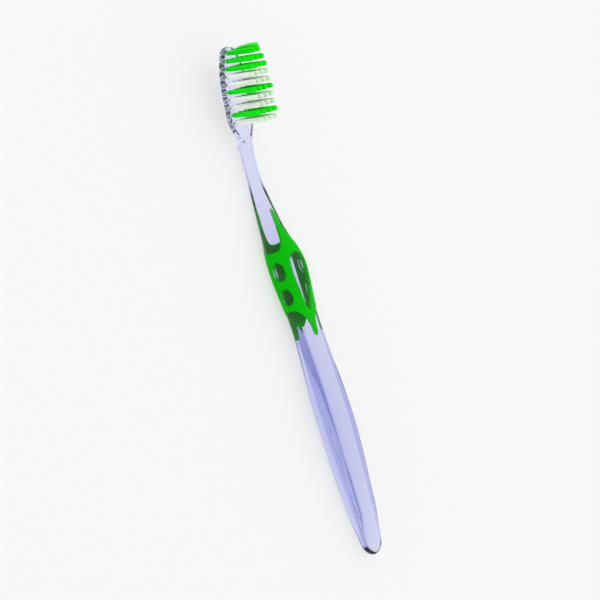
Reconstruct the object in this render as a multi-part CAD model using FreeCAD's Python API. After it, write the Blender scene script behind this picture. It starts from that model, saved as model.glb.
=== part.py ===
# Manual toothbrush: a clear one-piece moulded body (handle, neck and head plate), a soft grip sleeve
# moulded over its middle, and nylon tufts, each folded round a flat metal anchor in a blind hole.
# Millimetres. X runs from the tail to the tip of the head, Y across, Z up towards the bristle side.
# The brush lies on its back, with the origin on the table under the middle of its length.
import FreeCAD, Part
import math
import os

# Shaping
overrun = 3.0               # how far every cutting shape runs past what it cuts
join_slack = 0.001          # misfit that is closed where two lengths of the body meet
section_step = 6.0          # spacing of the sections that shape the body
end_sections = 9            # sections that shape a rounded end or shoulder
half_points = 12            # steps from front to back round one half of a section
end_turn = 80.0             # degrees that a rounded end turns through before it is closed flat

# Body stations from tail to head: run from the station before, width, thickness, lift of the back
# off the table, and squareness, which is 2 for an oval section and more for a rounded rectangle
tail_width = 6.6
tail_thickness = 5.0
tail_lift = 0.5
tail_squareness = 2.6
tail_round = 4.5            # length over which the tail's end closes

taper_run = 20.0
taper_width = 10.6
taper_thickness = 7.6
taper_lift = -0.15          # below the table: cut off flat as the face that the handle rests on
taper_squareness = 3.8

handle_run = 30.0
handle_width = 12.7
handle_thickness = 9.0
handle_lift = 0.4
handle_squareness = 4.0

waist_run = 34.0
waist_width = 10.8
waist_thickness = 7.6
waist_lift = 1.5
waist_squareness = 2.9

grip_run = 19.5
grip_width = 11.3
grip_thickness = 11.4
grip_lift = -0.1            # below the table too, so that the grip rests on a flat in line with the handle's
grip_squareness = 2.9

shoulder_run = 16.0
shoulder_width = 7.8
shoulder_thickness = 7.2
shoulder_lift = 0.35
shoulder_squareness = 2.5

neck_run = 18.0
neck_width = 4.3
neck_thickness = 4.4
neck_lift = 1.3
neck_squareness = 2.8

throat_run = 8.0
throat_width = 4.3
throat_thickness = 4.7
throat_lift = 1.75
throat_squareness = 3.0

# Head plate
heel_run = 5.1
heel_lift = 3.65            # lift of the plate's back where the plate starts
head_length = 30.3
head_width = 11.8
head_thickness = 3.0
face_trim = 0.2             # rounded front of the plate that is cut down to its flat bristle face
head_tilt = 9.6             # degrees, towards the bristle side
head_squareness = 5.0
tip_taper = 16.8            # length of the half ellipse that ends at the tip
heel_taper = 13.0           # length of the double bend from the neck to the plate's full width
heel_reach = 6.0            # length of that bend which lies on the neck, before the plate starts
plate_blend = 2.0           # how sharply neck and plate merge, higher is sharper
tip_round = 1.6             # length over which the plate's thickness closes at the tip

# Grip sleeve: its places are runs from the fullest section of the grip
sleeve_proud = 0.2          # how far it stands out of the body
sleeve_depth = 1.1          # how deep it is let into the body
sleeve_high_run = 6.6       # towards the head, to its edge on the sides
sleeve_low_run = 14.3       # towards the tail, to its edge on the sides
upper_tongue_length = 14.4
lower_tongue_length = 10.3
tongue_root_share = 0.98    # tongue's root against the sleeve's half width there
upper_tongue_shares = ((0.03, 0.88), (0.1, 0.74), (0.2, 0.56), (0.43, 0.34), (0.66, 0.2), (0.92, 0.13))
lower_tongue_shares = ((0.03, 0.95), (0.1, 0.83), (0.23, 0.62), (0.41, 0.38), (0.6, 0.26), (0.9, 0.18))

# Windows in the sleeve: a drop in front, one behind, and two ovals on each side
drop_run = 4.9              # towards the head, to the rounded end of the drop
drop_length = 20.2
drop_width = 7.5
thumb_hollow_share = 0.3    # sag of the hollow in the front drop against the drop's half width
hollow_drop = 0.1           # from the body's skin down to the edge of that hollow
hollow_margin = 0.4         # by which the cutter of that hollow reaches past the drop's edge
drop_shares = ((0.03, 0.6), (0.1, 0.84), (0.2, 0.97), (0.3, 1.0), (0.45, 0.94), (0.6, 0.75),
               (0.75, 0.52), (0.9, 0.28))
drop_end_share = 0.05       # of the drop's half width, where the hollow runs out at both ends
upper_oval_run = 0.2        # towards the tail, to the middle of the oval
upper_oval_length = 6.4
upper_oval_height = 4.9
lower_oval_run = 9.2        # towards the tail, to the middle of the oval
lower_oval_length = 5.5
lower_oval_height = 4.4
oval_rise = 0.8             # ovals sit this far above the middle of the section

# Tufts, in rows from the tip to the heel
tuft_counts = (2, 3, 4, 4, 4, 4, 4, 4, 4, 4)
tuft_colours = ("green", "green", "green", "white", "white", "green", "white", "white", "green", "white")
first_row_inset = 2.55      # from the tip of the plate to the first row
row_pitch = 2.545
edge_inset = 1.73           # from the plate's edge to the middle of the outer tufts
tuft_diameter = 1.66
tuft_tip_diameter = 1.9
tuft_free_length = 11.7
tuft_dome = 0.35            # height of the rounded trim at the tips
hole_clearance = 0.02       # between a tuft and its hole, all round
hole_depth = 2.2

# Anchors: flat strips of wire driven through the fold of each tuft into the walls of its hole
anchor_width = 1.9
anchor_height = 1.2
anchor_thickness = 0.3
anchor_floor = 0.3          # height of the fold under the anchor

# Derived places and sizes
tilt = math.radians(head_tilt)
stem_runs = (taper_run, handle_run, waist_run, grip_run, shoulder_run, neck_run, throat_run, heel_run)
overall_length = sum(stem_runs) + head_length * math.cos(tilt)
tail_x = -overall_length / 2
taper_x = tail_x + taper_run
handle_x = taper_x + handle_run
waist_x = handle_x + waist_run
grip_x = waist_x + grip_run
shoulder_x = grip_x + shoulder_run
neck_x = shoulder_x + neck_run
throat_x = neck_x + throat_run
heel_x = throat_x + heel_run
heel_end_x = heel_x + heel_taper - heel_reach
tip_x = overall_length / 2
hole_radius = tuft_diameter / 2 + hole_clearance

STATIONS = (
    (tail_x, tail_width, tail_thickness, tail_lift, tail_squareness),
    (taper_x, taper_width, taper_thickness, taper_lift, taper_squareness),
    (handle_x, handle_width, handle_thickness, handle_lift, handle_squareness),
    (waist_x, waist_width, waist_thickness, waist_lift, waist_squareness),
    (grip_x, grip_width, grip_thickness, grip_lift, grip_squareness),
    (shoulder_x, shoulder_width, shoulder_thickness, shoulder_lift, shoulder_squareness),
    (neck_x, neck_width, neck_thickness, neck_lift, neck_squareness),
    (throat_x, throat_width, throat_thickness, throat_lift, throat_squareness),
)


def smooth_curve(places, values):
    """Cubic through the points whose slope is zero at each peak and dip, so it never overshoots."""
    steps = [b - a for a, b in zip(places, places[1:])]
    slopes = [(b - a) / step for a, b, step in zip(values, values[1:], steps)]
    tangents = [slopes[0]]
    for left, right in zip(slopes, slopes[1:]):
        same_way = left * right > 0
        tangents.append(2 * left * right / (left + right) if same_way else 0)
    tangents.append(slopes[-1])

    def value(place):
        index = max(i for i in range(len(steps)) if i == 0 or places[i] <= place)
        step = steps[index]
        t = min(max((place - places[index]) / step, 0), 1)
        rise = t * t * (3 - 2 * t)
        bend_start = t * (1 - t) * (1 - t) * step * tangents[index]
        bend_end = t * t * (t - 1) * step * tangents[index + 1]
        return values[index] * (1 - rise) + values[index + 1] * rise + bend_start + bend_end

    return value


def head_back(x):
    """Height of the head plate's back at x."""
    return heel_lift + (x - heel_x) * math.tan(tilt)


def bristle_face(x):
    """Height of the flat face that the tufts stand on at x."""
    return head_back(x) + head_thickness / math.cos(tilt)


def head_front(x):
    """Height at x of the rounded front that the bristle face is cut from."""
    return bristle_face(x) + face_trim / math.cos(tilt)


places = [station[0] for station in STATIONS] + [heel_x, tip_x]
backs = [station[3] for station in STATIONS] + [head_back(heel_x), head_back(tip_x)]
fronts = [station[3] + station[2] for station in STATIONS] + [head_front(heel_x), head_front(tip_x)]
widths = [station[1] for station in STATIONS] + [throat_width, throat_width]
corners = [station[4] for station in STATIONS] + [head_squareness, head_squareness]
tilts = [0 for station in STATIONS] + [tilt, tilt]

back_height = smooth_curve(places, backs)
front_height = smooth_curve(places, fronts)
stem_width = smooth_curve(places, widths)
squareness = smooth_curve(places, corners)
section_tilt = smooth_curve(places, tilts)


def plate_half_width(x):
    """Head plate in plan: half an ellipse towards the tip, a double bend that runs out along the neck."""
    tip_part = min(max(1 - (tip_x - x) / math.cos(tilt) / tip_taper, 0), 1)
    heel_part = min(max((x - heel_end_x) / heel_taper + 1, 0), 1)
    tip_width = (1 - tip_part ** 2) ** (1 / 2)
    heel_width = heel_part * heel_part * (3 - 2 * heel_part)
    return head_width / 2 * min(tip_width, heel_width)


def half_width(x):
    """Half width of the whole body: the stem, which fades out under the head plate that it carries."""
    under = min(max((x - heel_x) / (heel_end_x - heel_x), 0), 1)
    stem = stem_width(x) / 2 * tail_closing(x) * (1 - under * under * (3 - 2 * under))
    return (stem ** plate_blend + plate_half_width(x) ** plate_blend) ** (1 / plate_blend)


def tail_closing(x):
    """Share of the full section that is left near the rounded end of the tail."""
    part = max(1 - (x - tail_x) / tail_round, 0)
    return math.sqrt(1 - part ** 2)


def tip_closing(x):
    """Share of the plate's thickness that is left near its tip."""
    part = max(1 - (tip_x - x) / tip_round, 0)
    return math.sqrt(1 - part ** 2)


def half_thickness(x):
    """Half thickness of the body, measured square to the section's own tilt."""
    upright = (front_height(x) - back_height(x)) / 2
    return upright * math.cos(section_tilt(x)) * tail_closing(x) * tip_closing(x)


def middle_height(x):
    """Height of the middle of the section above the table."""
    return (front_height(x) + back_height(x)) / 2


def section(x, grown):
    """Closed section at x in two halves that meet at front and back, grown outwards by a length."""
    a = half_width(x) + grown
    b = half_thickness(x) + grown
    power = 2 / squareness(x)
    lean = section_tilt(x)
    halves = []
    for side in (1, -1):
        points = []
        for number in range(half_points + 1):
            turn = math.pi * number / half_points
            across = side * a * math.sin(turn) ** power if 0 < number < half_points else 0
            up = b * math.copysign(abs(math.cos(turn)) ** power, math.cos(turn))
            height = middle_height(x) + up * math.cos(lean)
            points.append(FreeCAD.Vector(x - up * math.sin(lean), across, height))
        curve = Part.BSplineCurve()
        outwards = FreeCAD.Vector(0, side, 0)
        curve.interpolate(Points=points, InitialTangent=outwards, FinalTangent=-outwards)
        halves.append(curve.toShape())
    return Part.Wire(halves)


def spread(start, end, step):
    """Evenly spaced places from start to end, about one step apart, both ends included."""
    count = max(round((end - start) / step), 1)
    return [start + (end - start) * number / count for number in range(count + 1)]


def rounding(full, length):
    """Places along a rounded end, from its full section towards its tip, closer and closer together."""
    turns = [math.radians(end_turn) * number / end_sections for number in range(end_sections + 1)]
    return [full + length * math.sin(turn) for turn in turns]


def skin(section_places, grown):
    """Solid skinned over the sections at the given places."""
    return Part.makeLoft([section(x, grown) for x in section_places], True, False)


def prism(wire, direction):
    """Solid swept straight along direction from a flat closed outline."""
    return Part.Face(wire).extrude(direction)


def spline(points):
    """Smooth open edge through flat points."""
    curve = Part.BSplineCurve()
    curve.interpolate(Points=points)
    return curve.toShape()


def line(start, end):
    """Straight edge."""
    return Part.makeLine(start, end)


# Lengths of the body that are shaped one by one and joined end to end
side_low_x = grip_x - sleeve_low_run
side_high_x = grip_x + sleeve_high_run
upper_tip_x = side_high_x + upper_tongue_length
lower_tip_x = side_low_x - lower_tongue_length
tail_full_x = tail_x + tail_round
grip_low_x = lower_tip_x - overrun
grip_high_x = upper_tip_x + overrun
plate_full_x = tip_x - tip_taper * math.cos(tilt)

tail_end = skin(rounding(tail_full_x, -tail_round), 0)
handle = skin(spread(tail_full_x, grip_low_x, section_step), 0)
grip = skin(spread(grip_low_x, grip_high_x, section_step / 2), 0)
neck = skin(spread(grip_high_x, heel_x, section_step / 2), 0)
heel = skin(spread(heel_x, heel_end_x, section_step / 2), 0)
plate = skin(spread(heel_end_x, plate_full_x, section_step / 2), 0)
tip = skin(rounding(plate_full_x, tip_taper * math.cos(tilt)), 0)

# Grip sleeve: a shell round the middle of the body, trimmed to its outline and opened by its windows
shell_places = spread(grip_low_x, grip_high_x, section_step / 2)
core_places = spread(grip_low_x - overrun, grip_high_x + overrun, section_step / 2)
shell = skin(shell_places, sleeve_proud).cut(skin(core_places, -sleeve_depth))

outline_floor = -overrun
outline_rise = FreeCAD.Vector(0, 0, grip_lift + grip_thickness + 2 * overrun)
outline_reach = grip_width / 2 + overrun


def plan_point(x, y):
    """Point of an outline seen from the bristle side."""
    return FreeCAD.Vector(x, y, outline_floor)


def tongue(root_x, end_x, shares):
    """Edge of a tongue from its root on +Y round its tip to its root on -Y."""
    length = end_x - root_x
    root = tongue_root_share * (half_width(root_x) + sleeve_proud)
    near = [(root_x, root)] + [(root_x + along * length, out * root) for along, out in shares]
    far = [(x, -y) for x, y in reversed(near)]
    return spline([plan_point(x, y) for x, y in near + [(end_x, 0)] + far]), root


upper_edge, upper_root = tongue(side_high_x, upper_tip_x, upper_tongue_shares)
lower_edge, lower_root = tongue(side_low_x, lower_tip_x, lower_tongue_shares)
sleeve_outline = Part.Wire(Part.__sortEdges__([
    upper_edge,
    line(plan_point(side_high_x, -upper_root), plan_point(side_high_x, -outline_reach)),
    line(plan_point(side_high_x, -outline_reach), plan_point(side_low_x, -outline_reach)),
    line(plan_point(side_low_x, -outline_reach), plan_point(side_low_x, -lower_root)),
    lower_edge,
    line(plan_point(side_low_x, lower_root), plan_point(side_low_x, outline_reach)),
    line(plan_point(side_low_x, outline_reach), plan_point(side_high_x, outline_reach)),
    line(plan_point(side_high_x, outline_reach), plan_point(side_high_x, upper_root)),
]))
sleeve = shell.common(prism(sleeve_outline, outline_rise))

drop_x = grip_x + drop_run
drop_near = [(drop_x - along * drop_length, out * drop_width / 2) for along, out in drop_shares]
drop_far = [(x, -y) for x, y in reversed(drop_near)]
drop_curve = Part.BSplineCurve()
drop_outline = [(drop_x, 0)] + drop_near + [(drop_x - drop_length, 0)] + drop_far
drop_points = [plan_point(x, y) for x, y in drop_outline]
drop_curve.interpolate(Points=drop_points, PeriodicFlag=True)
sleeve = sleeve.cut(prism(Part.Wire([drop_curve.toShape()]), outline_rise))


def hollow_section(along, out):
    """Upright outline across the drop: an arc that sags between the drop's edges, open above the body."""
    x = drop_x - along * drop_length
    half = out * drop_width / 2
    power = squareness(x)
    rise = half_thickness(x) * (1 - (half / half_width(x)) ** power) ** (1 / power)
    edge = middle_height(x) + rise - hollow_drop
    sag = thumb_hollow_share * half
    reach = half + hollow_margin
    lip = edge + sag * ((reach / half) ** 2 - 1)
    near, far = FreeCAD.Vector(x, reach, lip), FreeCAD.Vector(x, -reach, lip)
    above = FreeCAD.Vector(0, 0, front_height(x) + overrun - lip)
    arc = Part.Arc(near, FreeCAD.Vector(x, 0, edge - sag), far).toShape()
    return Part.Wire([arc, line(far, far + above), line(far + above, near + above), line(near + above, near)])


past_end_share = hollow_margin / drop_length
hollow_shares = ((-past_end_share, drop_end_share),) + drop_shares + ((1 + past_end_share, drop_end_share),)
hollow = Part.makeLoft([hollow_section(along, out) for along, out in hollow_shares], True, True)


def side_oval(run, length, height):
    """Oval bar through both sides of the grip, its middle a little above the middle of the section."""
    x = grip_x - run
    middle = FreeCAD.Vector(x, -outline_reach, middle_height(x) + oval_rise)
    end = middle + FreeCAD.Vector(length / 2, 0, 0)
    top = middle + FreeCAD.Vector(0, 0, height / 2)
    oval = Part.Ellipse(end, top, middle)
    return prism(Part.Wire([oval.toShape()]), FreeCAD.Vector(0, 2 * outline_reach, 0))


sleeve = sleeve.cut(side_oval(upper_oval_run, upper_oval_length, upper_oval_height))
sleeve = sleeve.cut(side_oval(lower_oval_run, lower_oval_length, lower_oval_height))

# Resting flats: the backs of handle, grip and sleeve are cut level with the table
table = Part.makeBox(overall_length, head_width + 2 * overrun, overrun)
table.translate(FreeCAD.Vector(tail_x, -head_width / 2 - overrun, -overrun))
handle = handle.cut(table)
grip = grip.cut(table)
sleeve = sleeve.cut(table)

# Bristle face: the front of the plate is cut flat, from the heel to past the tip
head_turn = FreeCAD.Rotation(FreeCAD.Vector(0, 1, 0), -head_tilt)
trim = Part.makeBox(head_length + overrun, head_width + 2 * overrun, overrun)
trim.translate(FreeCAD.Vector(0, -head_width / 2 - overrun, 0))
face_start = FreeCAD.Placement(FreeCAD.Vector(heel_x, 0, bristle_face(heel_x)), head_turn)
trim.Placement = face_start.multiply(trim.Placement)

# Tufts and anchors, made upright at the bottom of a hole and carried to their places in the plate


def tuft_seats():
    """Name and placement of every tuft: on the floor of its hole, square to the plate."""
    seats = []
    for row, (count, colour) in enumerate(zip(tuft_counts, tuft_colours)):
        inset = first_row_inset + row * row_pitch
        x = tip_x - inset * math.cos(tilt)
        span = plate_half_width(x) - edge_inset
        sink = hole_depth * math.cos(tilt)
        shift = hole_depth * math.sin(tilt)
        for column in range(count):
            y = span * (1 - 2 * column / (count - 1))
            floor = FreeCAD.Vector(x + shift, y, bristle_face(x) - sink)
            name = f"{colour}_tuft_r{row + 1:02d}_c{column + 1}"
            seats.append((name, FreeCAD.Placement(floor, head_turn)))
    return seats


def tuft():
    """Bundle that flares a little from its hole to a trimmed, slightly domed end."""
    root = tuft_diameter / 2
    crown = tuft_tip_diameter / 2
    length = hole_depth + tuft_free_length
    corners = ((0, 0), (root, 0), (root, hole_depth), (crown, length - tuft_dome))
    knots = [FreeCAD.Vector(radius, 0, height) for radius, height in corners]
    turn = math.pi / 4
    shoulder = FreeCAD.Vector(crown * math.cos(turn), 0, length - tuft_dome * (1 - math.sin(turn)))
    top = FreeCAD.Vector(0, 0, length)
    edges = [line(a, b) for a, b in zip(knots, knots[1:])]
    edges.append(spline([knots[-1], shoulder, top]))
    edges.append(line(top, knots[0]))
    return Part.Face(Part.Wire(edges)).revolve(FreeCAD.Vector(0, 0, 0), FreeCAD.Vector(0, 0, 1), 360)


def anchor():
    """Flat strip set across the hole, above the fold of the tuft."""
    strip = Part.makeBox(anchor_thickness, anchor_width, anchor_height)
    strip.translate(FreeCAD.Vector(-anchor_thickness / 2, -anchor_width / 2, anchor_floor))
    return strip


def placed(shape, placement):
    """Copy of a shape at its seat."""
    copy = shape.copy()
    copy.Placement = placement.multiply(shape.Placement)
    return copy


seats = tuft_seats()
strip = anchor()
bundle = tuft().cut(strip)
socket = Part.makeCylinder(hole_radius, hole_depth + overrun).fuse(strip)
anchors = [placed(strip, placement) for name, placement in seats]
sockets = [placed(socket, placement) for name, placement in seats]
head = heel.fuse([plate, tip]).cut(trim).cut(sockets)
body = tail_end.fuse([handle, grip.cut(sleeve).cut(hollow), neck, head], join_slack)

# One file for each piece
os.makedirs("parts", exist_ok=True)
body.exportStep("parts/handle_body.step")
sleeve.exportStep("parts/grip_sleeve.step")
for name, placement in seats:
    placed(bundle, placement).exportStep(f"parts/{name}.step")
Part.makeCompound(anchors).exportStep("parts/tuft_anchors.step")

for name, shape in (("handle_body", body), ("grip_sleeve", sleeve), ("tuft", bundle)):
    print(name, "solids", len(shape.Solids), "valid", shape.isValid(), "volume", round(shape.Volume, 2))
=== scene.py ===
import math

import bpy
import numpy as np
from mathutils import Matrix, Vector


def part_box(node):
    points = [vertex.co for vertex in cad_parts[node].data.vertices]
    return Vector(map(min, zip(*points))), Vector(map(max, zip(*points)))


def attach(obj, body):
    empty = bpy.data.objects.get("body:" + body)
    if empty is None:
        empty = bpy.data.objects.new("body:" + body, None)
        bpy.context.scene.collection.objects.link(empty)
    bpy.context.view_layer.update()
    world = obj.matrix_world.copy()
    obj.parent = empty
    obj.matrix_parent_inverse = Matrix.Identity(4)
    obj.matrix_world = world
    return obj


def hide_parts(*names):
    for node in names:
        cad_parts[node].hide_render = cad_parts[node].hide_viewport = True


# A manual toothbrush that lies on its back: a clear moulded body, a soft grip sleeve moulded over its
# middle, and nylon tufts folded round metal anchors in the head. Sizes are in millimetres, X runs from tail
# to tip.
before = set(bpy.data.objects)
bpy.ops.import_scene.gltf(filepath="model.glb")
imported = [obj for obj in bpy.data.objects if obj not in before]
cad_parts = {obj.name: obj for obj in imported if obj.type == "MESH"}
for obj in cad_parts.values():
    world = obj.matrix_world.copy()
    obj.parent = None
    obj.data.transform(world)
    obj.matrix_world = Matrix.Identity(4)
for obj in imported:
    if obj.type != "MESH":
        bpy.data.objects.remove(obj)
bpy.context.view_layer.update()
bpy.context.scene.view_settings.view_transform = "Standard"

# Clear body
# Handle, waist, grip core, neck and head plate are one shot of lilac-tinted clear plastic from a polished
# mould. The middle is recessed for the sleeve, the backs of handle and grip have flats that rest on the
# table, and the head has blind holes for the tufts.
millimetre = 0.001
body_stations = np.array((  # run from the station before, width, thickness, lift of the back, squareness
    (0.0, 6.6, 5.0, 0.5, 2.6),  # tail
    (20.0, 10.6, 7.6, -0.15, 3.8),  # taper, which rests on the table
    (30.0, 12.7, 9.0, 0.4, 4.0),  # handle
    (34.0, 10.8, 7.6, 1.5, 2.9),  # waist
    (19.5, 11.3, 11.4, -0.1, 2.9),  # grip, which rests on it too
    (16.0, 7.8, 7.2, 0.35, 2.5),  # shoulder
    (18.0, 4.3, 4.4, 1.3, 2.8),  # neck
    (8.0, 4.3, 4.7, 1.75, 3.0),  # throat
))
tail_round = 4.5
heel_run = 5.1
heel_lift = 3.65
head_length = 30.3
head_width = 11.8
head_thickness = 3.0
face_trim = 0.2
head_tilt = math.radians(9.6)
head_squareness = 5.0
tip_taper = 16.8
heel_taper = 13.0
heel_reach = 6.0
plate_blend = 2.0
tip_round = 1.6
soft_edge = 0.04  # how gently the resting flats and the bristle face run out into the round

overall_length = body_stations[:, 0].sum() + heel_run + head_length * math.cos(head_tilt)
tail_x = -overall_length / 2
tip_x = overall_length / 2
station_x = tail_x + np.cumsum(body_stations[:, 0])
grip_x = station_x[4]
heel_x = station_x[-1] + heel_run
heel_end_x = heel_x + heel_taper - heel_reach
tail_full_x = tail_x + tail_round
plate_full_x = tip_x - tip_taper * math.cos(head_tilt)
body_low, body_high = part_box("handle_body")
tail_end = body_low.x / millimetre
tip_end = body_high.x / millimetre - soft_edge


def smooth_curve(places, values):
    """Cubic through the points. The slope at a point is the harmonic mean of the slopes beside it, and zero
    at peaks and dips."""
    places = np.asarray(places, float)
    values = np.asarray(values, float)
    steps = np.diff(places)
    slopes = np.diff(values) / steps
    left, right = slopes[:-1], slopes[1:]
    same_way = left * right > 0
    inner = np.where(same_way, 2 * left * right / np.where(same_way, left + right, 1), 0)
    tangents = np.concatenate([slopes[:1], inner, slopes[-1:]])

    def value(x):
        index = np.clip(np.searchsorted(places, x, side="right") - 1, 0, len(steps) - 1)
        t = np.clip((x - places[index]) / steps[index], 0, 1)
        rise = t * t * (3 - 2 * t)
        bend = t * (1 - t) ** 2 * tangents[index] + t * t * (t - 1) * tangents[index + 1]
        return values[index] * (1 - rise) + values[index + 1] * rise + bend * steps[index]

    return value


head_x = np.array((heel_x, tip_x))
head_back = heel_lift + (head_x - heel_x) * math.tan(head_tilt)
head_front = head_back + (head_thickness + face_trim) / math.cos(head_tilt)
body_x = np.concatenate([station_x, head_x])
back_height = smooth_curve(body_x, np.concatenate([body_stations[:, 3], head_back]))
front_height = smooth_curve(body_x, np.concatenate([body_stations[:, 3] + body_stations[:, 2], head_front]))
stem_width = smooth_curve(body_x, np.concatenate([body_stations[:, 1], body_stations[-1:, 1].repeat(2)]))
squareness = smooth_curve(body_x, np.concatenate([body_stations[:, 4], [head_squareness] * 2]))
section_lean = smooth_curve(body_x, np.concatenate([np.zeros(len(station_x)), [head_tilt] * 2]))


def smooth_step(low, high, x):
    """Rises from 0 at low to 1 at high, level at both."""
    t = np.clip((x - low) / (high - low), 0, 1)
    return t * t * (3 - 2 * t)


def closing(x, full_x, end):
    """Quarter ellipse: 1 as far as full_x, 0 at the end."""
    return np.sqrt(1 - np.clip((x - full_x) / (end - full_x), 0, 1) ** 2)


def plate_half_width(x):
    """Head plate in plan: half an ellipse towards the tip, a double bend that runs out along the neck."""
    heel_share = smooth_step(heel_end_x - heel_taper, heel_end_x, x)
    return head_width / 2 * np.minimum(closing(x, plate_full_x, tip_end), heel_share)


def half_width(x):
    """Half width of the stem, which fades out under the head plate that it carries, blended with the
    plate's."""
    stem = stem_width(x) / 2 * closing(x, tail_full_x, tail_end)
    stem = stem * (1 - smooth_step(heel_x, heel_end_x, x))
    return (stem ** plate_blend + plate_half_width(x) ** plate_blend) ** (1 / plate_blend)


def half_thickness(x):
    """Half thickness square to the section's own lean, closed at the tail and the tip."""
    upright = (front_height(x) - back_height(x)) / 2 * np.cos(section_lean(x))
    return upright * closing(x, tail_full_x, tail_end) * closing(x, tip_end - tip_round, tip_end)


def body_surface(x, turn, grown=0.0):
    """Points of the body at x and at a turn from its front round +Y, their three parts on the last axis.
    A superellipse is stretched to the section there, grown outwards, leaned, and cut flat at the bristle
    face and at the table."""
    power = squareness(x)
    swell = (np.abs(np.sin(turn)) ** power + np.abs(np.cos(turn)) ** power) ** (-1 / power)
    across = (half_width(x) + grown) * swell * np.sin(turn)
    up = (half_thickness(x) + grown) * swell * np.cos(turn)
    face_up = (head_thickness - face_trim) / 2
    on_plate = smooth_step(heel_x - face_trim, heel_x + tip_round, x)
    up = up - on_plate * soft_edge * np.logaddexp(0, (up - face_up) / soft_edge)
    lean = section_lean(x)
    height = (front_height(x) + back_height(x)) / 2 + up * np.cos(lean)
    height = soft_edge * np.logaddexp(0, height / soft_edge)
    return np.stack([x - up * np.sin(lean), across, height], -1)


def steepest(value, x, turn):
    """Change in x and in turn that takes a function on the body's surface up its steepest slope by one unit,
    and that slope, from differences over a short step both ways."""
    step_x, step_turn = 0.01, 0.002
    least = 1e-9  # keeps a point where the surface closes from dividing by zero
    ahead, behind = (x + step_x, turn), (x - step_x, turn)
    left, right = (x, turn + step_turn), (x, turn - step_turn)
    along = (body_surface(*ahead) - body_surface(*behind)) / (2 * step_x)
    round_ = (body_surface(*left) - body_surface(*right)) / (2 * step_turn)
    rise_x = (value(*ahead) - value(*behind)) / (2 * step_x)
    rise_turn = (value(*left) - value(*right)) / (2 * step_turn)
    e, f, g = (along * along).sum(-1), (along * round_).sum(-1), (round_ * round_).sum(-1)
    area = np.maximum(e * g - f * f, least)
    up_x = (g * rise_x - f * rise_turn) / area
    up_turn = (e * rise_turn - f * rise_x) / area
    slope = np.sqrt(np.maximum(rise_x * up_x + rise_turn * up_turn, least))
    return up_x / slope ** 2, up_turn / slope ** 2, slope


def snap(x, turn, reach, within):
    """Moves the nearer end of each grid edge that crosses the line within = 0 on to that line, by steps that
    each take the whole of what is left along the steepest slope."""
    rounds = 4
    move = np.zeros(reach.shape, bool)
    for axis in (0, 1):
        ahead = np.roll(reach, -1, axis)
        crosses = reach * ahead < 0
        if axis == 0:
            crosses[-1] = False
        nearer = np.abs(reach) <= np.abs(ahead)
        move |= crosses & nearer
        move |= np.roll(crosses & ~nearer, 1, axis)
    for _ in range(rounds):
        off = within(x[move], turn[move])
        up_x, up_turn = steepest(within, x[move], turn[move])[:2]
        x[move] -= off * up_x
        turn[move] -= off * up_turn
    reach[move] = 0


def cells(reach):
    """Faces of a grid inside and outside the line reach = 0, which no grid edge crosses any more. A cell
    with both signs has them at opposite corners, and is cut between the other two."""
    rows, columns = reach.shape
    index = np.arange(rows * columns).reshape(rows, columns)
    beside = np.roll(index, -1, 1)
    corners = np.stack([index[:-1], index[1:], beside[1:], beside[:-1]], -1).reshape(-1, 4)
    sign = np.sign(reach).ravel()
    mixed = (sign[corners].min(1) < 0) & (sign[corners].max(1) > 0)
    cut = corners[mixed]
    cut = np.where(sign[cut[:, :1]] == 0, cut, np.roll(cut, -1, 1))
    triangles = np.concatenate([cut[:, [0, 1, 2]], cut[:, [0, 2, 3]]])
    quads = corners[~mixed]
    quad_in = sign[quads].sum(1) > 0
    triangle_in = sign[triangles].sum(1) > 0
    return [quads[quad_in], triangles[triangle_in]], [quads[~quad_in], triangles[~triangle_in]]


def rim(faces):
    """Edges that only one of the faces has, with their ends in that face's order."""
    edges = np.concatenate([np.stack([f, np.roll(f, -1, 1)], -1).reshape(-1, 2) for f in faces])
    size = edges.max() + 1
    return edges[~np.isin(edges[:, 0] * size + edges[:, 1], edges[:, 1] * size + edges[:, 0])]


def make_piece(name, points, faces, material, crease):
    """Object at the origin from points in millimetres and lists of faces, without the points that no face
    has. It is shaded smooth, with edges sharper than crease, in degrees, kept sharp."""
    used, number = np.unique(np.concatenate([f.ravel() for f in faces]), return_inverse=True)
    ends = np.cumsum([f.size for f in faces])
    parts = [number[end - f.size:end].reshape(f.shape) for end, f in zip(ends, faces)]
    mesh = bpy.data.meshes.new(name)
    mesh.from_pydata(points[used] * millimetre, [], [row for part in parts for row in part.tolist()])
    mesh.shade_smooth()
    mesh.set_sharp_from_angle(angle=math.radians(crease))
    mesh.materials.append(material)
    piece = bpy.data.objects.new(name, mesh)
    bpy.context.scene.collection.objects.link(piece)
    return piece


def colour(code):
    """Linear colour with full alpha from an sRGB hex code."""
    parts = [int(code[i:i + 2], 16) / 255 for i in (0, 2, 4)]
    return [p / 12.92 if p <= 0.04045 else ((p + 0.055) / 1.055) ** 2.4 for p in parts] + [1]


def add(tree, kind, inputs=None, **settings):
    """Adds a node with its settings. Inputs maps a socket's name or number to a value or to the output that
    it links to."""
    node = tree.nodes.new(kind)
    for name, value in settings.items():
        setattr(node, name, value)
    for name, value in (inputs or {}).items():
        if isinstance(value, bpy.types.NodeSocket):
            tree.links.new(value, node.inputs[name])
        else:
            node.inputs[name].default_value = value
    return node


def new_tree(name):
    """A material with an empty node tree."""
    material = bpy.data.materials.new(name)
    material.use_nodes = True
    material.node_tree.nodes.clear()
    return material, material.node_tree


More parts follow.
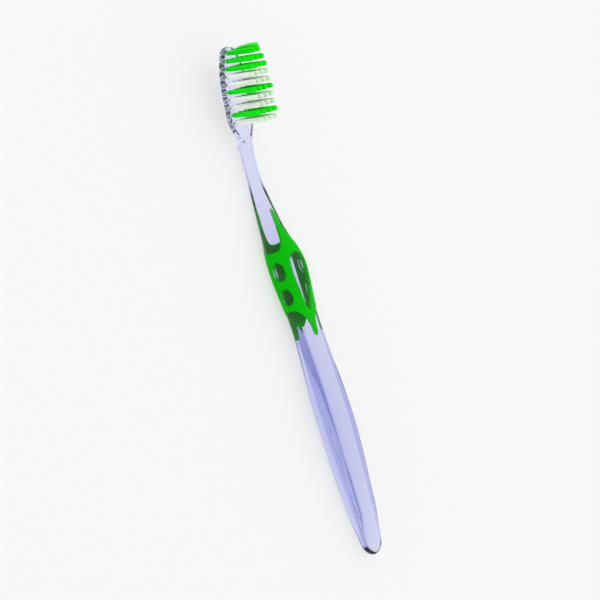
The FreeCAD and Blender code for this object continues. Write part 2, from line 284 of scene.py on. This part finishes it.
# Clear copolyester, moulded and left glossy: lilac dye deepens with the depth that is looked through, and
# the flow of the melt leaves a faint unevenness that bends reflections.
flow_size = 6.0
flow_depth = 0.002
clear_plastic, tree = new_tree("clear_lilac_copolyester")
place = add(tree, "ShaderNodeTexCoord").outputs["Object"]
flow = add(tree, "ShaderNodeTexNoise", {
    "Vector": place, "Scale": 1 / (flow_size * millimetre), "Detail": 1.0,
})
uneven = add(tree, "ShaderNodeBump", {"Height": flow.outputs["Fac"], "Distance": flow_depth * millimetre})
shine = add(tree, "ShaderNodeBsdfPrincipled", {
    "Base Color": colour("ECEDFF"), "Roughness": 0.0, "IOR": 1.5, "Transmission Weight": 1.0,
    "Specular Tint": colour("A8A8A8"), "Normal": uneven.outputs["Normal"],
})
dye = add(tree, "ShaderNodeVolumeAbsorption", {"Color": colour("6776D8"), "Density": 42.0})
add(tree, "ShaderNodeOutputMaterial", {"Surface": shine.outputs["BSDF"], "Volume": dye.outputs["Volume"]})

# Tuft holes: rows from the tip, square to the bristle face
tuft_counts = (2, 3, 4, 4, 4, 4, 4, 4, 4, 4)
tuft_colours = ("green", "green", "green", "white", "white", "green", "white", "white", "green", "white")
first_row_inset = 2.55
row_pitch = 2.545
edge_inset = 1.73
hole_radius = 0.85
hole_depth = 2.2
head_along = np.array((math.cos(head_tilt), 0, math.sin(head_tilt)))
head_across = np.array((0.0, 1.0, 0.0))
head_up = np.array((-math.sin(head_tilt), 0, math.cos(head_tilt)))
face_origin = np.array((heel_x, 0, heel_lift + head_thickness / math.cos(head_tilt)))
row_number = np.repeat(np.arange(len(tuft_counts)), tuft_counts)
column_number = np.concatenate([np.arange(count) for count in tuft_counts])
row_inset = first_row_inset + row_number * row_pitch
hole_x = tip_x - row_inset * math.cos(head_tilt)
across_share = 1 - 2 * column_number / (np.repeat(tuft_counts, tuft_counts) - 1)
hole_y = (plate_half_width(hole_x) - edge_inset) * across_share
hole_along = (hole_x - heel_x) / math.cos(head_tilt)
hole_mouths = face_origin + hole_along[:, None] * head_along + hole_y[:, None] * head_across


def in_hole(x, turn):
    """How far a point of the bristle face lies inside the nearest tuft hole, negative outside and off the
    face."""
    off = body_surface(x, turn) - face_origin
    along, across, up = off @ head_along, off @ head_across, off @ head_up
    gaps = np.hypot(along[..., None] - hole_along, across[..., None] - hole_y).min(-1)
    return hole_radius - gaps + head_width * np.minimum(up + face_trim, 0)


# Grip outline: two tongues towards the head and two towards the tail, one of each in front and one behind; a
# drop window in front and another behind; two ovals on each side.
sleeve_proud = 0.2
sleeve_depth = 1.1
sleeve_overlap = 0.03  # the sleeve grips the plastic this much, so that the two are in optical contact
sleeve_high_x = grip_x + 6.6
sleeve_low_x = grip_x - 14.3
upper_tongue_length = 14.4
lower_tongue_length = 10.3
tongue_root_share = 0.98
tongue_flare = 4.0  # how steeply a tongue runs out to the sides beyond its root
upper_tongue_shares = (  # share of the length, share of the root's half width
    (0, 1), (0.03, 0.88), (0.1, 0.74), (0.2, 0.56), (0.43, 0.34), (0.66, 0.2), (0.92, 0.13), (1, 0),
)
lower_tongue_shares = (
    (0, 1), (0.03, 0.95), (0.1, 0.83), (0.23, 0.62), (0.41, 0.38), (0.6, 0.26), (0.9, 0.18), (1, 0),
)
drop_x = grip_x + 4.9
drop_length = 20.2
drop_width = 7.5
thumb_hollow_share = 0.3
drop_head_slope, drop_foot_slope = 2.0, 0.5  # how fast the window's edge falls away beyond its ends
drop_shares = (
    (0, 0), (0.03, 0.6), (0.1, 0.84), (0.2, 0.97), (0.3, 1),
    (0.45, 0.94), (0.6, 0.75), (0.75, 0.52), (0.9, 0.28), (1, 0),
)
oval_x = np.array((grip_x - 0.2, grip_x - 9.2))
oval_length = np.array((6.4, 5.5))
oval_height = np.array((4.9, 4.4))
oval_rise = 0.8


def tongue_edge(root_x, length, shares):
    """How far a point lies inside a tongue whose half width narrows by shares from root to tip, and beyond
    its root runs out steeply to the sides. A negative length runs towards the tail."""
    narrowing = smooth_curve(*zip(*shares))
    root = tongue_root_share * (half_width(np.array(root_x)) + sleeve_proud)

    def value(x, turn):
        along = (x - root_x) / length
        beyond = tongue_flare * np.minimum(along, 0) + np.maximum(along - 1, 0)
        reach = root * narrowing(along) - abs(length) * beyond
        return reach - np.abs(body_surface(x, turn, sleeve_proud)[..., 1])

    return value


def drop_half_width(x):
    """Half the width of the drop window, and less than nothing beyond its ends."""
    along = (drop_x - x) / drop_length
    beyond = drop_head_slope * np.minimum(along, 0) - drop_foot_slope * np.maximum(along - 1, 0)
    return drop_width / 2 * smooth_curve(*zip(*drop_shares))(along) + drop_length * beyond


def drop_edge(x, turn):
    """How far a point lies outside the drop windows in front and behind."""
    return np.abs(body_surface(x, turn, sleeve_proud)[..., 1]) - drop_half_width(x)


def thumb_rest(points, x):
    """Lowers the body inside the front drop to a shallow hollow: a parabola that hangs between its edges."""
    least = 1e-6  # stands for the width beyond the window's ends, where nothing is lowered
    half = np.maximum(drop_half_width(x), least)
    middle = (front_height(x) + back_height(x)) / 2
    inside = (np.abs(points[..., 1]) < half) & (points[..., 2] > middle)
    power = squareness(x)
    edge_up = half_thickness(x) * (1 - np.minimum(half / half_width(x), 1) ** power) ** (1 / power)
    sag = thumb_hollow_share * half * (1 - np.minimum(np.abs(points[..., 1]) / half, 1) ** 2)
    lowered = points.copy()
    lowered[..., 2] = np.where(inside, middle + edge_up - sag, points[..., 2])
    return lowered


def oval_edge(x, turn):
    """How far a point lies outside the nearest oval window: the share by which it is past the oval's edge,
    times the oval's mean half size."""
    point = body_surface(x, turn, sleeve_proud)
    middle = (front_height(oval_x) + back_height(oval_x)) / 2 + oval_rise
    off_x = (x[..., None] - oval_x) / (oval_length / 2)
    off_z = (point[..., 2:] - middle) / (oval_height / 2)
    return ((np.hypot(off_x, off_z) - 1) * (oval_length + oval_height) / 4).min(-1)


sleeve_edges = (
    tongue_edge(sleeve_high_x, upper_tongue_length, upper_tongue_shares),
    tongue_edge(sleeve_low_x, -lower_tongue_length, lower_tongue_shares),
    drop_edge,
    oval_edge,
)


def in_sleeve(x, turn):
    """Distance on the surface to the sleeve's nearest edge, positive under the sleeve: value over slope."""
    return np.min([edge(x, turn) / steepest(edge, x, turn)[2] for edge in sleeve_edges], 0)


def under_sleeve(x, turn):
    """The same for the recess, whose wall stands inside the sleeve's edge by the overlap."""
    return in_sleeve(x, turn) - sleeve_overlap


# The body's grid: rows crowd towards both ends, and are fine under the sleeve and across the tuft holes
columns = 144
handle_step, grip_step, neck_step, plate_step = 0.5, 0.25, 0.4, 0.28
end_rows, tip_rows = 14, 90
grip_low_x = sleeve_low_x - lower_tongue_length - 2 * neck_step
grip_high_x = sleeve_high_x + upper_tongue_length + 2 * neck_step


def even(start, end, step):
    """Even places from start up to, and without, the end."""
    return np.linspace(start, end, max(round((end - start) / step), 1), endpoint=False)


def crowded(full_x, end, count):
    """Places from full_x that crowd towards the end of a quarter ellipse, without the end itself."""
    return full_x + (end - full_x) * np.sin(np.linspace(0, math.pi / 2, count, endpoint=False))


row_x = np.concatenate([
    crowded(tail_full_x, tail_end, end_rows)[:0:-1],
    even(tail_full_x, grip_low_x, handle_step),
    even(grip_low_x, grip_high_x, grip_step),
    even(grip_high_x, heel_x, neck_step),
    even(heel_x, plate_full_x, plate_step),
    crowded(plate_full_x, tip_end, tip_rows),
])
column_turn = np.linspace(0, 2 * math.pi, columns, endpoint=False)
grid_x, grid_turn = np.meshgrid(row_x, column_turn, indexing="ij")
outside_all = -1.0
reach = np.full(grid_x.shape, outside_all)
for rows, within in (
    (slice(*np.searchsorted(row_x, (grip_low_x, grip_high_x))), under_sleeve),
    (slice(*np.searchsorted(row_x, (heel_x + neck_step, tip_end))), in_hole),
):
    reach[rows] = within(grid_x[rows], grid_turn[rows])
    snap(grid_x[rows], grid_turn[rows], reach[rows], within)
recessed, outer = cells(reach)
skin = thumb_rest(body_surface(grid_x, grid_turn), grid_x)
recess = body_surface(grid_x, grid_turn, sleeve_overlap - sleeve_depth)
floors = np.where((grid_x < heel_x)[..., None], recess, skin - hole_depth * head_up)
skin, floors = skin.reshape(-1, 3), floors.reshape(-1, 3)
count = len(skin)
edge = rim(recessed)
walls = np.stack([edge[:, 0], edge[:, 1], edge[:, 1] + count, edge[:, 0] + count], -1)
first_row = np.arange(columns)
last_row = count - columns + first_row
tail_fan = np.stack([first_row, np.roll(first_row, -1), np.full(columns, 2 * count)], -1)
tip_fan = np.stack([np.roll(last_row, -1), last_row, np.full(columns, 2 * count + 1)], -1)
poles = body_surface(np.array((tail_end, tip_end)), np.zeros(2))
body = make_piece(
    "clear_body", np.concatenate([skin, floors, poles]),
    outer + [f + count for f in recessed] + [walls, tail_fan, tip_fan], clear_plastic, crease=50,
)
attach(body, "root")
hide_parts("handle_body")

# Grip sleeve
# Soft thermoplastic elastomer, moulded over the clear body in a second shot, so that it fills the recess and
# stands slightly proud with rounded edges.
edge_round = 0.5

# Dyed elastomer: satin from a finely etched mould, a little uneven in its dye, and softly shaded because
# light sinks in a short way.
cloud_size = 5.0
etch_size = 0.25  # coarser than a real etched grain, so that it shows
etch_depth = 0.01
etch_strength = 0.6
elastomer, tree = new_tree("green_thermoplastic_elastomer")
place = add(tree, "ShaderNodeTexCoord").outputs["Object"]
cloud = add(tree, "ShaderNodeTexNoise", {
    "Vector": place, "Scale": 1 / (cloud_size * millimetre), "Detail": 2.0,
})
green = add(tree, "ShaderNodeMix", {
    "Factor": cloud.outputs["Fac"], "A": colour("00B402"), "B": colour("04BE04"),
}, data_type="RGBA")
etch = add(tree, "ShaderNodeTexNoise", {
    "Vector": place, "Scale": 1 / (etch_size * millimetre), "Detail": 2.0,
})
satin = add(tree, "ShaderNodeMapRange", {"Value": etch.outputs["Fac"], "To Min": 0.38, "To Max": 0.55})
grain = add(tree, "ShaderNodeBump", {
    "Height": etch.outputs["Fac"], "Distance": etch_depth * millimetre, "Strength": etch_strength,
})
skin_shader = add(tree, "ShaderNodeBsdfPrincipled", {
    "Base Color": green.outputs["Result"], "Roughness": satin.outputs["Result"], "IOR": 1.48,
    "Specular IOR Level": 0.06, "Subsurface Weight": 0.7, "Subsurface Scale": 4 * millimetre,
    "Subsurface Radius": (0.3, 1.0, 0.3), "Normal": grain.outputs["Normal"],
})
add(tree, "ShaderNodeOutputMaterial", {"Surface": skin_shader.outputs["BSDF"]})

sleeve_rows = even(grip_low_x, grip_high_x, grip_step)
sleeve_x, sleeve_turn = np.meshgrid(sleeve_rows, column_turn, indexing="ij")
reach = in_sleeve(sleeve_x, sleeve_turn)
snap(sleeve_x, sleeve_turn, reach, in_sleeve)
covered = cells(reach)[0]
fall = edge_round - np.clip(reach, 0, edge_round)
roll = edge_round - np.sqrt(edge_round ** 2 - fall ** 2)
outside = body_surface(sleeve_x, sleeve_turn, sleeve_proud - roll).reshape(-1, 3)
inside = body_surface(sleeve_x, sleeve_turn, -sleeve_depth).reshape(-1, 3)
count = len(outside)
edge = rim(covered)
walls = np.stack([edge[:, 1], edge[:, 0], edge[:, 0] + count, edge[:, 1] + count], -1)
sleeve = make_piece(
    "grip_sleeve_skin", np.concatenate([outside, inside]),
    covered + [f[:, ::-1] + count for f in covered] + [walls], elastomer, crease=55,
)
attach(sleeve, "root")
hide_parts("grip_sleeve")

# Anchors
# Each tuft is held by a flat strip cut from drawn nickel silver, an alloy of copper, zinc and nickel, that
# is driven across its hole until it bites. Drawing leaves fine lines along the strip that spread its gloss.
draw_width = 0.05
draw_stretch = 20.0
anchor_metal, tree = new_tree("drawn_nickel_silver")
place = add(tree, "ShaderNodeTexCoord").outputs["Object"]
lengthened = add(tree, "ShaderNodeMapping", {"Vector": place, "Scale": (1.0, 1 / draw_stretch, 1.0)})
draw = add(tree, "ShaderNodeTexNoise", {
    "Vector": lengthened.outputs["Vector"], "Scale": 1 / (draw_width * millimetre),
})
lines = add(tree, "ShaderNodeMapRange", {"Value": draw.outputs["Fac"], "To Min": 0.25, "To Max": 0.45})
metal = add(tree, "ShaderNodeBsdfPrincipled", {
    "Base Color": colour("B9BAB2"), "Metallic": 1.0, "Roughness": lines.outputs["Result"],
})
add(tree, "ShaderNodeOutputMaterial", {"Surface": metal.outputs["BSDF"]})
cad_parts["tuft_anchors"].data.materials.clear()
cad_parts["tuft_anchors"].data.materials.append(anchor_metal)

# Tufts
# Bundles of nylon filament, folded in half under the anchor, trimmed level and ground round at their ends.
# They stand close in the hole and spread a little towards the tips; rows are green or undyed.
strand_count = 44
strand_radius = 0.11
tuft_free_length = 11.7
tuft_tip_radius = 0.95
tuft_dome = 0.35
trim_scatter = 0.12
bend_scatter = 0.07
bend_turn = 1.6  # a stray strand bows out furthest at half this share of its free length
tip_splay = 2.4  # bend that fans out the far tuft of the first row
hole_clearance = 0.02
anchor_clearance = 0.26  # half the anchor's thickness and a strand's radius
anchor_crowding = 0.7  # share of their spacing that strands keep where they pass the anchor
own_shade = 0.2  # share of a strand's shade that is its own; the rest follows the rise to its tip
strand_sides = 6
draw_seed = 7
ring_height = np.array((0.12, 0.22, 0.6, 2.2, 5.5, 9.5))  # rings of a strand, from the hole's floor
end_drop = strand_radius * np.array((0.6, 0.1))  # two more rings, this far below the tip
ring_tilt = np.radians((90, 50, 10, 0, 0, 0, 0, 0))  # from lying under the anchor to upright
ring_radius = strand_radius * np.array((1, 1, 1, 1, 1, 1, 1, 0.6))
fold_share = np.array((0, 0.55, 1))  # how far aside the first rings are, from the anchor's middle


def nylon(name, root_code, tip_code):
    """Nylon filament, extruded smooth with a faint gloss. Its colour runs from the root's to the tip's by
    the strand's shade."""
    material, tree = new_tree(name)
    shade = add(tree, "ShaderNodeAttribute", attribute_name="shade")
    tint = add(tree, "ShaderNodeMix", {
        "Factor": shade.outputs["Fac"], "A": colour(root_code), "B": colour(tip_code),
    }, data_type="RGBA")
    strand = add(tree, "ShaderNodeBsdfPrincipled", {
        "Base Color": tint.outputs["Result"], "Roughness": 0.35, "IOR": 1.53, "Specular IOR Level": 0.1,
    })
    add(tree, "ShaderNodeOutputMaterial", {"Surface": strand.outputs["BSDF"]})
    return material


# Dyed filament looks lighter towards its tip. Undyed filament is milky white; towards the tip its colour is
# painted pale green, painted light standing for the green light that the rows beside it shed on it.
nylons = {
    "green": nylon("green_nylon_filament", "00F004", "0CFF08"),
    # the undyed tip colour is painted green light from the neighbouring green rows
    "white": nylon("undyed_nylon_filament", "FFFFFF", "ECFFE8"),
}

# Places of the strands in a tuft: a sunflower spiral, even in area and turned by the golden angle each time
draws = np.random.default_rng(draw_seed)
tufts = len(hole_mouths)
shape = (tufts, strand_count)
spiral = np.arange(strand_count)
spiral_radius = np.sqrt((spiral + 0.5) / strand_count)
spiral_turn = spiral * math.pi * (3 - math.sqrt(5))
spot = np.stack([spiral_radius * np.cos(spiral_turn), spiral_radius * np.sin(spiral_turn)], -1)
side = np.where(spot[:, 0] < 0, -1, 1)
packed = spot * (hole_radius - strand_radius - hole_clearance)
spread = spot * (tuft_tip_radius - strand_radius)
off_anchor = side * (anchor_clearance + anchor_crowding * np.abs(packed[:, 0]))
beside_anchor = np.stack([off_anchor, packed[:, 1]], -1)
length = hole_depth + tuft_free_length
splay = np.zeros(shape)
splay[tuft_counts[0] - 1] = tip_splay * np.clip(spot[:, 0], 0, 1)
trim = draws.uniform(0, trim_scatter, shape)
tip_height = length - tuft_dome * spiral_radius ** 2 - trim - splay ** 2 / (2 * tuft_free_length)
stray = draws.normal(0, bend_scatter, shape + (2,))
stray[..., 0] += splay

# Middle line of every strand: under the anchor, beside it, out of the mouth and up to the tip, ring by ring
height = np.concatenate([
    np.broadcast_to(ring_height, shape + ring_height.shape), tip_height[..., None] - end_drop,
], -1)
up_share = np.clip((height - hole_depth) / tuft_free_length, 0, 1)[..., None]
straight = packed[:, None] + (spread - packed)[:, None] * up_share
line = straight + stray[:, :, None] * up_share * (bend_turn - up_share)
folds = len(fold_share)
line[:, :, :folds] = beside_anchor[:, None] * np.stack([fold_share, np.ones(folds)], -1)
circle = np.linspace(0, 2 * math.pi, strand_sides, endpoint=False)
round_one = np.cos(circle)
round_two = np.sin(circle)
local_along = line[..., 0, None] + ring_radius[:, None] * np.cos(ring_tilt)[:, None] * round_one
local_across = line[..., 1, None] + ring_radius[:, None] * round_two
sink = side[:, None, None] * ring_radius[:, None] * np.sin(ring_tilt)[:, None] * round_one
local_up = height[..., None] - sink
rings = len(ring_radius)
strand_tip = np.stack([line[:, :, -1, 0], line[:, :, -1, 1], tip_height], -1)
local = np.concatenate([
    np.stack([local_along, local_across, local_up], -1).reshape(shape + (rings * strand_sides, 3)),
    strand_tip[:, :, None],
], 2)
hole_floors = hole_mouths - hole_depth * head_up
points = hole_floors[:, None, None] + local @ np.stack([head_along, head_across, head_up])

ring_index = np.arange(rings * strand_sides).reshape(rings, strand_sides)
beside = np.roll(ring_index, -1, 1)
tube = np.stack([ring_index[:-1], beside[:-1], beside[1:], ring_index[1:]], -1).reshape(-1, 4)
cap = np.stack([ring_index[-1], beside[-1], np.full(strand_sides, rings * strand_sides)], -1)
foot = ring_index[:1, ::-1]
per_strand = rings * strand_sides + 1
offsets = (np.arange(strand_count) * per_strand)[:, None, None]
strand_faces = [(f + offsets).reshape(-1, f.shape[1]) for f in (tube, cap, foot)]
strand_shade = draws.uniform(0, 1, shape)
# the rise to the tip also brings in the painted green light on the undyed strands
tip_shade = np.concatenate([up_share[..., 0].repeat(strand_sides, -1) ** 2, np.ones(shape + (1,))], -1)
shade = own_shade * strand_shade[..., None] + (1 - own_shade) * tip_shade
for number in range(tufts):
    dye_name = tuft_colours[row_number[number]]
    node_name = f"{dye_name}_tuft_r{row_number[number] + 1:02d}_c{column_number[number] + 1}"
    tuft = make_piece(
        f"strands_{node_name}", points[number].reshape(-1, 3), strand_faces, nylons[dye_name], crease=60,
    )
    tuft.data.attributes.new("shade", "FLOAT", "POINT").data.foreach_set("value", shade[number].ravel())
    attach(tuft, "root")
    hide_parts(node_name)

# Floor
# A sheet of matt white board, larger than the view, which takes the soft shadow. Part of it is a plain white
# where the camera sees it, and all of it in reflections and through the clear plastic.
floor_half = 1500.0
plain_share = 0.6
board, tree = new_tree("white_studio_board")
paper = add(tree, "ShaderNodeBsdfPrincipled", {
    "Base Color": colour("F0F0F0"), "Roughness": 0.9, "Specular IOR Level": 0.0,
})
rays = add(tree, "ShaderNodeLightPath")
direct = add(tree, "ShaderNodeMath", {
    0: rays.outputs["Is Camera Ray"], 1: plain_share,
}, operation="MULTIPLY")
mirrored = add(tree, "ShaderNodeMath", {
    0: direct.outputs["Value"], 1: rays.outputs["Is Glossy Ray"],
}, operation="MAXIMUM")
through = add(tree, "ShaderNodeMath", {
    0: mirrored.outputs["Value"], 1: rays.outputs["Is Transmission Ray"],
}, operation="MAXIMUM")
plain = add(tree, "ShaderNodeEmission", {"Color": colour("F8F8F8"), "Strength": 1.0})
seen = add(tree, "ShaderNodeMixShader", {
    0: through.outputs["Value"], 1: paper.outputs["BSDF"], 2: plain.outputs["Emission"],
})
add(tree, "ShaderNodeOutputMaterial", {"Surface": seen.outputs["Shader"]})
corners = np.array(((-1, -1, 0), (1, -1, 0), (1, 1, 0), (-1, 1, 0))) * floor_half
floor = make_piece("studio_floor", corners, [np.array([[0, 1, 2, 3]])], board, crease=30)

# Light
# A white dome that darkens towards the horizon, which gives the clear plastic its dark edges, and one large
# weak lamp above the far side.
horizon_strength = 0.4
dome_strength = 1.05
full_height = 0.16  # sine of the elevation from which the dome has its whole strength
lamp_width = 900.0
lamp_place = np.array((100.0, -300.0, 900.0))
lamp_lean = math.radians(-18)
world = bpy.data.worlds.new("studio_dome")
bpy.context.scene.world = world
world.use_nodes = True
tree = world.node_tree
tree.nodes.clear()
sky = add(tree, "ShaderNodeSeparateXYZ", {"Vector": add(tree, "ShaderNodeTexCoord").outputs["Generated"]})
ramp = add(tree, "ShaderNodeMapRange", {
    "Value": sky.outputs["Z"], "From Min": 0.0, "From Max": full_height,
    "To Min": horizon_strength, "To Max": dome_strength,
}, interpolation_type="SMOOTHSTEP")
dome = add(tree, "ShaderNodeBackground", {"Color": (1, 1, 1, 1), "Strength": ramp.outputs["Result"]})
add(tree, "ShaderNodeOutputWorld", {"Surface": dome.outputs["Background"]})

lamp_data = bpy.data.lights.new("softbox", "AREA")
lamp_data.shape = "DISK"
lamp_data.size = lamp_width * millimetre
lamp_data.energy = 0.3
lamp = bpy.data.objects.new("softbox", lamp_data)
lamp.matrix_world = Matrix.Translation(lamp_place * millimetre) @ Matrix.Rotation(lamp_lean, 4, "X")
bpy.context.scene.collection.objects.link(lamp)

# Camera
# Above the near side and turned on its side, so that the brush runs up the picture. A long lens from well
# back keeps the perspective slight.
view_target = np.array((1.53, -1.54, 5.0))
view_distance = 600.0
view_height = math.radians(42.28)
view_side = math.radians(7.11)
view_roll = math.radians(76.76)
view_lens = 105.9
back = np.array((
    math.sin(view_side) * math.cos(view_height),
    math.cos(view_side) * math.cos(view_height),
    math.sin(view_height),
))
level = np.cross((0, 0, 1), back)
level = level / np.linalg.norm(level)
upright = np.cross(back, level)
right = math.cos(view_roll) * level + math.sin(view_roll) * upright
top = math.cos(view_roll) * upright - math.sin(view_roll) * level
camera_data = bpy.data.cameras.new("camera")
camera_data.lens = view_lens
camera_data.sensor_width = 36.0
camera = bpy.data.objects.new("camera", camera_data)
pose = np.eye(4)
pose[:3, :3] = np.stack([right, top, back], -1)
pose[:3, 3] = (view_target + view_distance * back) * millimetre
camera.matrix_world = Matrix(pose.tolist())
bpy.context.scene.collection.objects.link(camera)
bpy.context.scene.camera = camera
